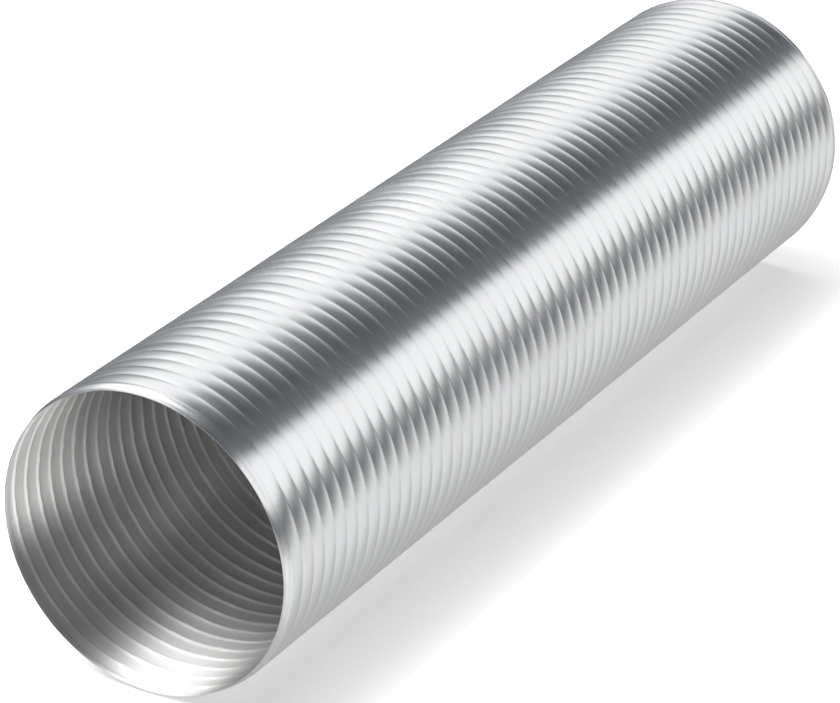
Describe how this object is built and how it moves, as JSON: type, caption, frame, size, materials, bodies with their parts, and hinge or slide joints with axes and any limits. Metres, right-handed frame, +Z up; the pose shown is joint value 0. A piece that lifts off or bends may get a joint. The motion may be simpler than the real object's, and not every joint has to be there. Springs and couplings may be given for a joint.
{
  "type": "flexible air duct",
  "caption": "Round semi-rigid aluminium air duct, a lapped spiral strip with one rib to each turn, open at both ends, that squeezes and bends and stays as set.",
  "frame": {"origin": "centre of the inlet mouth, on the duct's axis", "axes": "+Y along the duct from the inlet to the outlet, +Z up, +X to the right looking along the duct"},
  "size_m": [0.1046, 0.39, 0.1046],
  "materials": {
    "aluminium_strip": "bright rolled strip, fine lengthwise grain, lightly handled"
  },
  "bodies": {
    "turn_01": {"turn_01": "aluminium_strip"},
    "turn_02": {"turn_02": "aluminium_strip"},
    "turn_03": {"turn_03": "aluminium_strip"},
    "turn_04": {"turn_04": "aluminium_strip"},
    "turn_05": {"turn_05": "aluminium_strip"},
    "turn_06": {"turn_06": "aluminium_strip"},
    "turn_07": {"turn_07": "aluminium_strip"},
    "turn_08": {"turn_08": "aluminium_strip"},
    "turn_09": {"turn_09": "aluminium_strip"},
    "turn_10": {"turn_10": "aluminium_strip"},
    "turn_11": {"turn_11": "aluminium_strip"},
    "turn_12": {"turn_12": "aluminium_strip"},
    "turn_13": {"turn_13": "aluminium_strip"},
    "turn_14": {"turn_14": "aluminium_strip"},
    "turn_15": {"turn_15": "aluminium_strip"},
    "turn_16": {"turn_16": "aluminium_strip"},
    "turn_17": {"turn_17": "aluminium_strip"},
    "turn_18": {"turn_18": "aluminium_strip"},
    "turn_19": {"turn_19": "aluminium_strip"},
    "turn_20": {"turn_20": "aluminium_strip"},
    "turn_21": {"turn_21": "aluminium_strip"},
    "turn_22": {"turn_22": "aluminium_strip"},
    "turn_23": {"turn_23": "aluminium_strip"},
    "turn_24": {"turn_24": "aluminium_strip"},
    "turn_25": {"turn_25": "aluminium_strip"},
    "turn_26": {"turn_26": "aluminium_strip"},
    "turn_27": {"turn_27": "aluminium_strip"},
    "turn_28": {"turn_28": "aluminium_strip"},
    "turn_29": {"turn_29": "aluminium_strip"},
    "turn_30": {"turn_30": "aluminium_strip"},
    "turn_31": {"turn_31": "aluminium_strip"},
    "turn_32": {"turn_32": "aluminium_strip"},
    "turn_33": {"turn_33": "aluminium_strip"},
    "turn_34": {"turn_34": "aluminium_strip"},
    "turn_35": {"turn_35": "aluminium_strip"},
    "turn_36": {"turn_36": "aluminium_strip"},
    "turn_37": {"turn_37": "aluminium_strip"},
    "turn_38": {"turn_38": "aluminium_strip"},
    "turn_39": {"turn_39": "aluminium_strip"},
    "turn_40": {"turn_40": "aluminium_strip"},
    "turn_41": {"turn_41": "aluminium_strip"},
    "turn_42": {"turn_42": "aluminium_strip"},
    "turn_43": {"turn_43": "aluminium_strip"},
    "turn_44": {"turn_44": "aluminium_strip"},
    "turn_45": {"turn_45": "aluminium_strip"},
    "turn_46": {"turn_46": "aluminium_strip"},
    "turn_47": {"turn_47": "aluminium_strip"},
    "turn_48": {"turn_48": "aluminium_strip"},
    "turn_49": {"turn_49": "aluminium_strip"},
    "turn_50": {"turn_50": "aluminium_strip"},
    "turn_51": {"turn_51": "aluminium_strip"},
    "turn_52": {"turn_52": "aluminium_strip"},
    "turn_53": {"turn_53": "aluminium_strip"},
    "turn_54": {"turn_54": "aluminium_strip"},
    "turn_55": {"turn_55": "aluminium_strip"},
    "turn_56": {"turn_56": "aluminium_strip"},
    "turn_57": {"turn_57": "aluminium_strip"},
    "turn_58": {"turn_58": "aluminium_strip"},
    "turn_59": {"turn_59": "aluminium_strip"},
    "turn_60": {"turn_60": "aluminium_strip"}
  },
  "joints": [
    {"name": "squeeze", "type": "slide", "parent": "turn_01", "child": "turn_02", "axis": [0, -1, 0], "range_m": [0, 0.0052]},
    {"name": "bend_sideways", "type": "hinge", "parent": "turn_02", "child": "turn_03", "pos_m": [0, 0.0158, 0], "axis": [0.0349, 0, 0.9994], "range_deg": [-4.5, 4.5]},
    {"name": "squeeze_02", "type": "slide", "parent": "turn_03", "child": "turn_04", "axis": [0, -1, 0], "range_m": [0, 0.0052]},
    {"name": "bend_up_down", "type": "hinge", "parent": "turn_04", "child": "turn_05", "pos_m": [0, 0.0286, 0], "axis": [0.9994, 0, -0.0349], "range_deg": [-4.5, 4.5]},
    {"name": "squeeze_03", "type": "slide", "parent": "turn_05", "child": "turn_06", "axis": [0, -1, 0], "range_m": [0, 0.0052]},
    {"name": "bend_sideways_02", "type": "hinge", "parent": "turn_06", "child": "turn_07", "pos_m": [0, 0.0414, 0], "axis": [0.0349, 0, 0.9994], "range_deg": [-4.5, 4.5]},
    {"name": "squeeze_04", "type": "slide", "parent": "turn_07", "child": "turn_08", "axis": [0, -1, 0], "range_m": [0, 0.0052]},
    {"name": "bend_up_down_02", "type": "hinge", "parent": "turn_08", "child": "turn_09", "pos_m": [0, 0.0542, 0], "axis": [0.9994, 0, -0.0349], "range_deg": [-4.5, 4.5]},
    {"name": "squeeze_05", "type": "slide", "parent": "turn_09", "child": "turn_10", "axis": [0, -1, 0], "range_m": [0, 0.0052]},
    {"name": "bend_sideways_03", "type": "hinge", "parent": "turn_10", "child": "turn_11", "pos_m": [0, 0.067, 0], "axis": [0.0349, 0, 0.9994], "range_deg": [-4.5, 4.5]},
    {"name": "squeeze_06", "type": "slide", "parent": "turn_11", "child": "turn_12", "axis": [0, -1, 0], "range_m": [0, 0.0052]},
    {"name": "bend_up_down_03", "type": "hinge", "parent": "turn_12", "child": "turn_13", "pos_m": [0, 0.0798, 0], "axis": [0.9994, 0, -0.0349], "range_deg": [-4.5, 4.5]},
    {"name": "squeeze_07", "type": "slide", "parent": "turn_13", "child": "turn_14", "axis": [0, -1, 0], "range_m": [0, 0.0052]},
    {"name": "bend_sideways_04", "type": "hinge", "parent": "turn_14", "child": "turn_15", "pos_m": [0, 0.0926, 0], "axis": [0.0349, 0, 0.9994], "range_deg": [-4.5, 4.5]},
    {"name": "squeeze_08", "type": "slide", "parent": "turn_15", "child": "turn_16", "axis": [0, -1, 0], "range_m": [0, 0.0052]},
    {"name": "bend_up_down_04", "type": "hinge", "parent": "turn_16", "child": "turn_17", "pos_m": [0, 0.1054, 0], "axis": [0.9994, 0, -0.0349], "range_deg": [-4.5, 4.5]},
    {"name": "squeeze_09", "type": "slide", "parent": "turn_17", "child": "turn_18", "axis": [0, -1, 0], "range_m": [0, 0.0052]},
    {"name": "bend_sideways_05", "type": "hinge", "parent": "turn_18", "child": "turn_19", "pos_m": [0, 0.1182, 0], "axis": [0.0349, 0, 0.9994], "range_deg": [-4.5, 4.5]},
    {"name": "squeeze_10", "type": "slide", "parent": "turn_19", "child": "turn_20", "axis": [0, -1, 0], "range_m": [0, 0.0052]},
    {"name": "bend_up_down_05", "type": "hinge", "parent": "turn_20", "child": "turn_21", "pos_m": [0, 0.131, 0], "axis": [0.9994, 0, -0.0349], "range_deg": [-4.5, 4.5]},
    {"name": "squeeze_11", "type": "slide", "parent": "turn_21", "child": "turn_22", "axis": [0, -1, 0], "range_m": [0, 0.0052]},
    {"name": "bend_sideways_06", "type": "hinge", "parent": "turn_22", "child": "turn_23", "pos_m": [0, 0.1438, 0], "axis": [0.0349, 0, 0.9994], "range_deg": [-4.5, 4.5]},
    {"name": "squeeze_12", "type": "slide", "parent": "turn_23", "child": "turn_24", "axis": [0, -1, 0], "range_m": [0, 0.0052]},
    {"name": "bend_up_down_06", "type": "hinge", "parent": "turn_24", "child": "turn_25", "pos_m": [0, 0.1566, 0], "axis": [0.9994, 0, -0.0349], "range_deg": [-4.5, 4.5]},
    {"name": "squeeze_13", "type": "slide", "parent": "turn_25", "child": "turn_26", "axis": [0, -1, 0], "range_m": [0, 0.0052]},
    {"name": "bend_sideways_07", "type": "hinge", "parent": "turn_26", "child": "turn_27", "pos_m": [0, 0.1694, 0], "axis": [0.0349, 0, 0.9994], "range_deg": [-4.5, 4.5]},
    {"name": "squeeze_14", "type": "slide", "parent": "turn_27", "child": "turn_28", "axis": [0, -1, 0], "range_m": [0, 0.0052]},
    {"name": "bend_up_down_07", "type": "hinge", "parent": "turn_28", "child": "turn_29", "pos_m": [0, 0.1822, 0], "axis": [0.9994, 0, -0.0349], "range_deg": [-4.5, 4.5]},
    {"name": "squeeze_15", "type": "slide", "parent": "turn_29", "child": "turn_30", "axis": [0, -1, 0], "range_m": [0, 0.0052]},
    {"name": "bend_sideways_08", "type": "hinge", "parent": "turn_30", "child": "turn_31", "pos_m": [0, 0.195, 0], "axis": [0.0349, 0, 0.9994], "range_deg": [-4.5, 4.5]},
    {"name": "squeeze_16", "type": "slide", "parent": "turn_31", "child": "turn_32", "axis": [0, -1, 0], "range_m": [0, 0.0052]},
    {"name": "bend_up_down_08", "type": "hinge", "parent": "turn_32", "child": "turn_33", "pos_m": [0, 0.2078, 0], "axis": [0.9994, 0, -0.0349], "range_deg": [-4.5, 4.5]},
    {"name": "squeeze_17", "type": "slide", "parent": "turn_33", "child": "turn_34", "axis": [0, -1, 0], "range_m": [0, 0.0052]},
    {"name": "bend_sideways_09", "type": "hinge", "parent": "turn_34", "child": "turn_35", "pos_m": [0, 0.2206, 0], "axis": [0.0349, 0, 0.9994], "range_deg": [-4.5, 4.5]},
    {"name": "squeeze_18", "type": "slide", "parent": "turn_35", "child": "turn_36", "axis": [0, -1, 0], "range_m": [0, 0.0052]},
    {"name": "bend_up_down_09", "type": "hinge", "parent": "turn_36", "child": "turn_37", "pos_m": [0, 0.2334, 0], "axis": [0.9994, 0, -0.0349], "range_deg": [-4.5, 4.5]},
    {"name": "squeeze_19", "type": "slide", "parent": "turn_37", "child": "turn_38", "axis": [0, -1, 0], "range_m": [0, 0.0052]},
    {"name": "bend_sideways_10", "type": "hinge", "parent": "turn_38", "child": "turn_39", "pos_m": [0, 0.2462, 0], "axis": [0.0349, 0, 0.9994], "range_deg": [-4.5, 4.5]},
    {"name": "squeeze_20", "type": "slide", "parent": "turn_39", "child": "turn_40", "axis": [0, -1, 0], "range_m": [0, 0.0052]},
    {"name": "bend_up_down_10", "type": "hinge", "parent": "turn_40", "child": "turn_41", "pos_m": [0, 0.259, 0], "axis": [0.9994, 0, -0.0349], "range_deg": [-4.5, 4.5]},
    {"name": "squeeze_21", "type": "slide", "parent": "turn_41", "child": "turn_42", "axis": [0, -1, 0], "range_m": [0, 0.0052]},
    {"name": "bend_sideways_11", "type": "hinge", "parent": "turn_42", "child": "turn_43", "pos_m": [0, 0.2718, 0], "axis": [0.0349, 0, 0.9994], "range_deg": [-4.5, 4.5]},
    {"name": "squeeze_22", "type": "slide", "parent": "turn_43", "child": "turn_44", "axis": [0, -1, 0], "range_m": [0, 0.0052]},
    {"name": "bend_up_down_11", "type": "hinge", "parent": "turn_44", "child": "turn_45", "pos_m": [0, 0.2846, 0], "axis": [0.9994, 0, -0.0349], "range_deg": [-4.5, 4.5]},
    {"name": "squeeze_23", "type": "slide", "parent": "turn_45", "child": "turn_46", "axis": [0, -1, 0], "range_m": [0, 0.0052]},
    {"name": "bend_sideways_12", "type": "hinge", "parent": "turn_46", "child": "turn_47", "pos_m": [0, 0.2974, 0], "axis": [0.0349, 0, 0.9994], "range_deg": [-4.5, 4.5]},
    {"name": "squeeze_24", "type": "slide", "parent": "turn_47", "child": "turn_48", "axis": [0, -1, 0], "range_m": [0, 0.0052]},
    {"name": "bend_up_down_12", "type": "hinge", "parent": "turn_48", "child": "turn_49", "pos_m": [0, 0.3102, 0], "axis": [0.9994, 0, -0.0349], "range_deg": [-4.5, 4.5]},
    {"name": "squeeze_25", "type": "slide", "parent": "turn_49", "child": "turn_50", "axis": [0, -1, 0], "range_m": [0, 0.0052]},
    {"name": "bend_sideways_13", "type": "hinge", "parent": "turn_50", "child": "turn_51", "pos_m": [0, 0.323, 0], "axis": [0.0349, 0, 0.9994], "range_deg": [-4.5, 4.5]},
    {"name": "squeeze_26", "type": "slide", "parent": "turn_51", "child": "turn_52", "axis": [0, -1, 0], "range_m": [0, 0.0052]},
    {"name": "bend_up_down_13", "type": "hinge", "parent": "turn_52", "child": "turn_53", "pos_m": [0, 0.3358, 0], "axis": [0.9994, 0, -0.0349], "range_deg": [-4.5, 4.5]},
    {"name": "squeeze_27", "type": "slide", "parent": "turn_53", "child": "turn_54", "axis": [0, -1, 0], "range_m": [0, 0.0052]},
    {"name": "bend_sideways_14", "type": "hinge", "parent": "turn_54", "child": "turn_55", "pos_m": [0, 0.3486, 0], "axis": [0.0349, 0, 0.9994], "range_deg": [-4.5, 4.5]},
    {"name": "squeeze_28", "type": "slide", "parent": "turn_55", "child": "turn_56", "axis": [0, -1, 0], "range_m": [0, 0.0052]},
    {"name": "bend_up_down_14", "type": "hinge", "parent": "turn_56", "child": "turn_57", "pos_m": [0, 0.3614, 0], "axis": [0.9994, 0, -0.0349], "range_deg": [-4.5, 4.5]},
    {"name": "squeeze_29", "type": "slide", "parent": "turn_57", "child": "turn_58", "axis": [0, -1, 0], "range_m": [0, 0.0052]},
    {"name": "bend_sideways_15", "type": "hinge", "parent": "turn_58", "child": "turn_59", "pos_m": [0, 0.3742, 0], "axis": [0.0349, 0, 0.9994], "range_deg": [-4.5, 4.5]},
    {"name": "squeeze_30", "type": "slide", "parent": "turn_59", "child": "turn_60", "axis": [0, -1, 0], "range_m": [0, 0.0052]}
  ],
  "couplings": [
    {"joint": "squeeze_02", "follows": "squeeze", "ratio": 1},
    {"joint": "squeeze_03", "follows": "squeeze", "ratio": 1},
    {"joint": "bend_sideways_02", "follows": "bend_sideways", "ratio": 1},
    {"joint": "squeeze_04", "follows": "squeeze", "ratio": 1},
    {"joint": "bend_up_down_02", "follows": "bend_up_down", "ratio": 1},
    {"joint": "squeeze_05", "follows": "squeeze", "ratio": 1},
    {"joint": "bend_sideways_03", "follows": "bend_sideways", "ratio": 1},
    {"joint": "squeeze_06", "follows": "squeeze", "ratio": 1},
    {"joint": "bend_up_down_03", "follows": "bend_up_down", "ratio": 1},
    {"joint": "squeeze_07", "follows": "squeeze", "ratio": 1},
    {"joint": "bend_sideways_04", "follows": "bend_sideways", "ratio": 1},
    {"joint": "squeeze_08", "follows": "squeeze", "ratio": 1},
    {"joint": "bend_up_down_04", "follows": "bend_up_down", "ratio": 1},
    {"joint": "squeeze_09", "follows": "squeeze", "ratio": 1},
    {"joint": "bend_sideways_05", "follows": "bend_sideways", "ratio": 1},
    {"joint": "squeeze_10", "follows": "squeeze", "ratio": 1},
    {"joint": "bend_up_down_05", "follows": "bend_up_down", "ratio": 1},
    {"joint": "squeeze_11", "follows": "squeeze", "ratio": 1},
    {"joint": "bend_sideways_06", "follows": "bend_sideways", "ratio": 1},
    {"joint": "squeeze_12", "follows": "squeeze", "ratio": 1},
    {"joint": "bend_up_down_06", "follows": "bend_up_down", "ratio": 1},
    {"joint": "squeeze_13", "follows": "squeeze", "ratio": 1},
    {"joint": "bend_sideways_07", "follows": "bend_sideways", "ratio": 1},
    {"joint": "squeeze_14", "follows": "squeeze", "ratio": 1},
    {"joint": "bend_up_down_07", "follows": "bend_up_down", "ratio": 1},
    {"joint": "squeeze_15", "follows": "squeeze", "ratio": 1},
    {"joint": "bend_sideways_08", "follows": "bend_sideways", "ratio": 1},
    {"joint": "squeeze_16", "follows": "squeeze", "ratio": 1},
    {"joint": "bend_up_down_08", "follows": "bend_up_down", "ratio": 1},
    {"joint": "squeeze_17", "follows": "squeeze", "ratio": 1},
    {"joint": "bend_sideways_09", "follows": "bend_sideways", "ratio": 1},
    {"joint": "squeeze_18", "follows": "squeeze", "ratio": 1},
    {"joint": "bend_up_down_09", "follows": "bend_up_down", "ratio": 1},
    {"joint": "squeeze_19", "follows": "squeeze", "ratio": 1},
    {"joint": "bend_sideways_10", "follows": "bend_sideways", "ratio": 1},
    {"joint": "squeeze_20", "follows": "squeeze", "ratio": 1},
    {"joint": "bend_up_down_10", "follows": "bend_up_down", "ratio": 1},
    {"joint": "squeeze_21", "follows": "squeeze", "ratio": 1},
    {"joint": "bend_sideways_11", "follows": "bend_sideways", "ratio": 1},
    {"joint": "squeeze_22", "follows": "squeeze", "ratio": 1},
    {"joint": "bend_up_down_11", "follows": "bend_up_down", "ratio": 1},
    {"joint": "squeeze_23", "follows": "squeeze", "ratio": 1},
    {"joint": "bend_sideways_12", "follows": "bend_sideways", "ratio": 1},
    {"joint": "squeeze_24", "follows": "squeeze", "ratio": 1},
    {"joint": "bend_up_down_12", "follows": "bend_up_down", "ratio": 1},
    {"joint": "squeeze_25", "follows": "squeeze", "ratio": 1},
    {"joint": "bend_sideways_13", "follows": "bend_sideways", "ratio": 1},
    {"joint": "squeeze_26", "follows": "squeeze", "ratio": 1},
    {"joint": "bend_up_down_13", "follows": "bend_up_down", "ratio": 1},
    {"joint": "squeeze_27", "follows": "squeeze", "ratio": 1},
    {"joint": "bend_sideways_14", "follows": "bend_sideways", "ratio": 1},
    {"joint": "squeeze_28", "follows": "squeeze", "ratio": 1},
    {"joint": "bend_up_down_14", "follows": "bend_up_down", "ratio": 1},
    {"joint": "squeeze_29", "follows": "squeeze", "ratio": 1},
    {"joint": "bend_sideways_15", "follows": "bend_sideways", "ratio": 1},
    {"joint": "squeeze_30", "follows": "squeeze", "ratio": 1}
  ]
}
